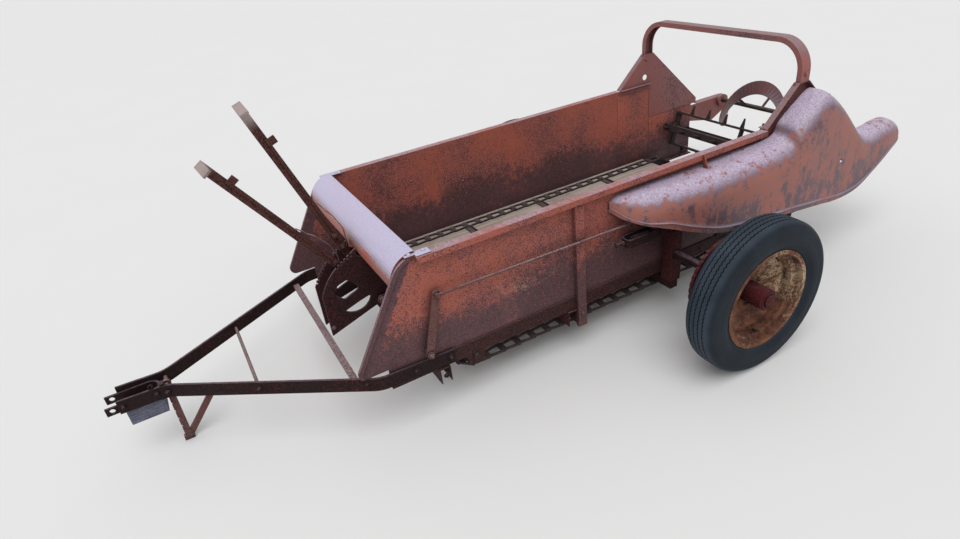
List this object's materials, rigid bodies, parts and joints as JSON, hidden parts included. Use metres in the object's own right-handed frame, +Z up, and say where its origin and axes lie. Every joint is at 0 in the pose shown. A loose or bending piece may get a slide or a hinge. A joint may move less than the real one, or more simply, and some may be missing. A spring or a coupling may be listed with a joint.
{
  "type": "manure spreader",
  "caption": "Towed two-wheel, ground-driven farm spreader: steel box with apron chains, toothed beater, spiral widespread, arch and shielded drive.",
  "frame": {"origin": "on the ground, at the middle of the bounding box in X and Y", "axes": "+X forward to the hitch, +Y to the left, where the drive is, +Z up"},
  "size_m": [4.0824, 1.968, 1.338],
  "materials": {
    "side_paint": "weathered orange-red paint with rust speckle",
    "hood_paint": "oxidised lavender-grey paint, satin",
    "fender_paint": "faded salmon paint, oxidised on top",
    "frame_paint": "near-black maroon, dusty",
    "lever_paint": "brown maroon, worn pale at the grips",
    "dark_steel": "dark weathered steel",
    "rod_steel": "dull worn steel",
    "rim_rust": "rust over old cream paint",
    "hub_paint": "dark red, matte",
    "tyre": "weathered blue-grey rubber",
    "floor_wood": "grey weathered boards",
    "block_wood": "blue-grey stippled block"
  },
  "bodies": {
    "root": {"side_left": "side_paint", "side_right": "side_paint", "front_wall": "hood_paint", "floor_boards": "floor_wood", "sill_left": "frame_paint", "sill_right": "frame_paint", "cross_sills": "frame_paint", "tongue_left": "frame_paint", "tongue_right": "frame_paint", "tongue_strap": "rod_steel", "tongue_rod": "rod_steel", "hitch_clevis": "frame_paint", "hitch_block": "block_wood", "control_quadrant": "lever_paint", "control_linkage": "rod_steel", "side_stakes": "side_paint", "gusset_left": "side_paint", "gusset_right": "side_paint", "rear_arm_left": "frame_paint", "rear_arm_right": "frame_paint", "arch": "side_paint", "drive_fender": "fender_paint", "drive_tightener": "frame_paint", "drive_shaft": "dark_steel", "drive_chain": "dark_steel", "axle": "frame_paint", "axle_brackets": "hub_paint", "apron_chain_left": "dark_steel", "apron_chain_right": "dark_steel", "apron_slats": "dark_steel", "apron_shafts": "dark_steel", "feed_ratchet": "hub_paint"},
    "wheel_left": {"tyre_left": "tyre", "rim_left": "rim_rust", "hub_left": "hub_paint"},
    "wheel_right": {"tyre_right": "tyre", "rim_right": "rim_rust", "hub_right": "hub_paint"},
    "beater_reel": {"beater": "dark_steel"},
    "widespread_reel": {"widespread": "dark_steel", "widespread_blades": "dark_steel"},
    "stand": {"stand_leg": "rod_steel"},
    "left_lever": {"lever_left": "lever_paint"},
    "right_lever": {"lever_right": "lever_paint"}
  },
  "joints": [
    {"name": "wheel_left_spin", "type": "hinge", "parent": "root", "child": "wheel_left", "pos_m": [-0.4105, 0.909, 0.34], "axis": [0, 1, 0], "continuous": true},
    {"name": "wheel_right_spin", "type": "hinge", "parent": "root", "child": "wheel_right", "pos_m": [-0.4105, -0.909, 0.34], "axis": [0, 1, 0], "continuous": true},
    {"name": "beater_spin", "type": "hinge", "parent": "root", "child": "beater_reel", "pos_m": [-1.4605, -0.119, 0.436], "axis": [0, 1, 0], "continuous": true},
    {"name": "widespread_spin", "type": "hinge", "parent": "root", "child": "widespread_reel", "pos_m": [-1.8765, -0.119, 0.527], "axis": [0, 1, 0], "continuous": true},
    {"name": "stand_fold", "type": "hinge", "parent": "root", "child": "stand", "pos_m": [1.8115, -0.119, 0.3043], "axis": [0, 1, 0], "range_deg": [0, 65]},
    {"name": "lever_left_swing", "type": "hinge", "parent": "root", "child": "left_lever", "pos_m": [0.8945, -0.002, 0.416], "axis": [0, 1, 0], "range_deg": [-14, 22]},
    {"name": "lever_right_swing", "type": "hinge", "parent": "root", "child": "right_lever", "pos_m": [0.8945, -0.066, 0.416], "axis": [0, 1, 0], "range_deg": [0, 36]}
  ]
}
